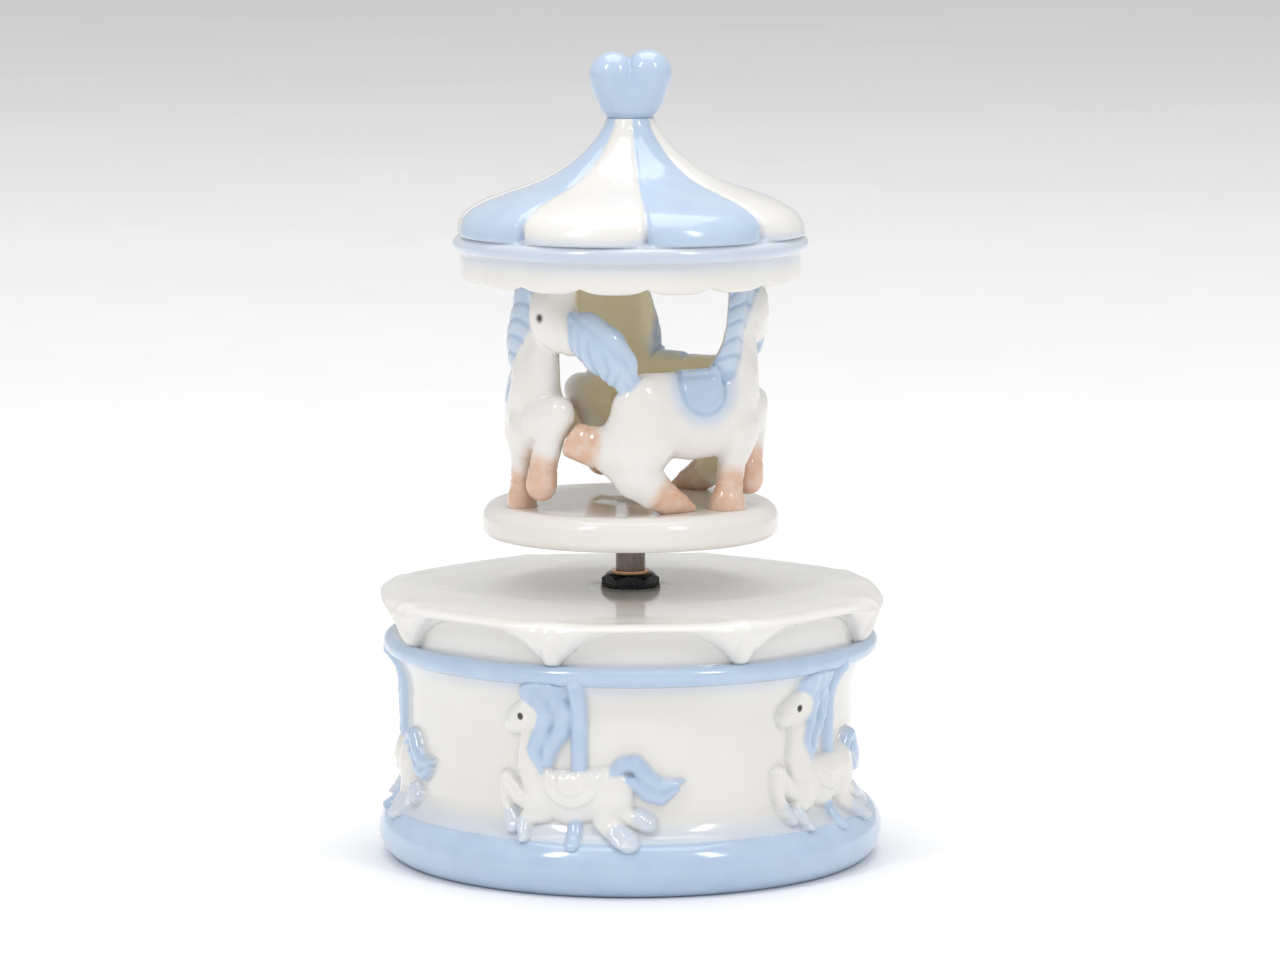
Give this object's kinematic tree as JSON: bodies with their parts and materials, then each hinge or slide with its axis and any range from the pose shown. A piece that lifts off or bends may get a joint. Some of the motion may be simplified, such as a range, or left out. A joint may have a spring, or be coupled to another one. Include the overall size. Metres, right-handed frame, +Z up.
{
  "type": "carousel music box",
  "caption": "Porcelain carousel music box: key-wound clockwork in a drum base turns a disc of galloping horses under a peaked roof with a heart finial.",
  "frame": {"origin": "centre of the foot ring, on the surface the box stands on", "axes": "+Z up along the carousel's spindle, -Y towards the front"},
  "size_m": [0.1, 0.1, 0.1609],
  "materials": {
    "white_porcelain": "gloss",
    "blue_porcelain": "gloss",
    "blackened_steel": "satin",
    "shaft_steel": "satin",
    "spring_steel": "polished",
    "screw_steel": "polished",
    "plated_steel": "polished",
    "zinc_casting": "satin",
    "brass": "satin",
    "copper": "satin",
    "black_rubber": "matte",
    "cover_board": "satin"
  },
  "bodies": {
    "base": {"base_drum": "white_porcelain", "relief_horse_1": "white_porcelain", "relief_horse_2": "white_porcelain", "relief_horse_3": "white_porcelain", "relief_horse_4": "white_porcelain", "relief_horse_5": "white_porcelain", "bottom_cover": "cover_board", "gasket": "black_rubber", "bedplate": "zinc_casting", "threaded_bushing": "brass", "nut_washer": "blackened_steel", "mounting_nut": "blackened_steel", "comb": "spring_steel", "comb_rail": "zinc_casting", "comb_screws": "screw_steel", "cylinder_bearing_inner": "zinc_casting", "cylinder_bearing_outer": "zinc_casting", "train_bearing": "zinc_casting", "governor_cock": "brass", "barrel_bridge": "brass", "bridge_pillars": "brass", "bridge_screws": "screw_steel", "ratchet_click": "spring_steel", "click_screw": "screw_steel"},
    "carousel": {"spring_barrel": "brass", "barrel_cap": "brass", "mainspring": "spring_steel", "great_wheel": "brass", "spindle": "shaft_steel", "thrust_washer": "copper", "spindle_ferrule": "shaft_steel", "turntable": "white_porcelain", "horse_1": "white_porcelain", "horse_2": "white_porcelain", "horse_3": "white_porcelain", "roof": "white_porcelain", "heart_finial": "blue_porcelain"},
    "cylinder": {"cylinder_arbor": "shaft_steel", "music_cylinder": "brass", "cylinder_pins": "spring_steel", "cylinder_pinion": "brass", "cylinder_wheel": "brass"},
    "train": {"train_arbor": "shaft_steel", "train_pinion": "brass", "worm_wheel": "brass"},
    "governor": {"worm_shaft": "shaft_steel", "governor_fan": "brass"},
    "winder": {"winding_arbor": "shaft_steel", "ratchet_wheel": "spring_steel", "winding_key": "plated_steel"}
  },
  "joints": [
    {"name": "carousel_spin", "type": "hinge", "parent": "base", "child": "carousel", "pos_m": [0, 0, 0.0643], "axis": [0, 0, 1], "continuous": true},
    {"name": "cylinder_spin", "type": "hinge", "parent": "base", "child": "cylinder", "pos_m": [0.0248, 0, 0.0372], "axis": [1, 0, 0], "continuous": true},
    {"name": "train_spin", "type": "hinge", "parent": "base", "child": "train", "pos_m": [0.0329, 0.0077, 0.0372], "axis": [1, 0, 0], "continuous": true},
    {"name": "governor_spin", "type": "hinge", "parent": "base", "child": "governor", "pos_m": [0.0343, 0.0141, 0.0372], "axis": [0, 0, 1], "continuous": true},
    {"name": "key_wind", "type": "hinge", "parent": "base", "child": "winder", "pos_m": [0, 0, 0.012], "axis": [0, 0, 1], "continuous": true}
  ],
  "couplings": [
    {"joint": "cylinder_spin", "follows": "carousel_spin", "ratio": 3.375},
    {"joint": "train_spin", "follows": "carousel_spin", "ratio": -11.475},
    {"joint": "governor_spin", "follows": "carousel_spin", "ratio": -321.3}
  ]
}
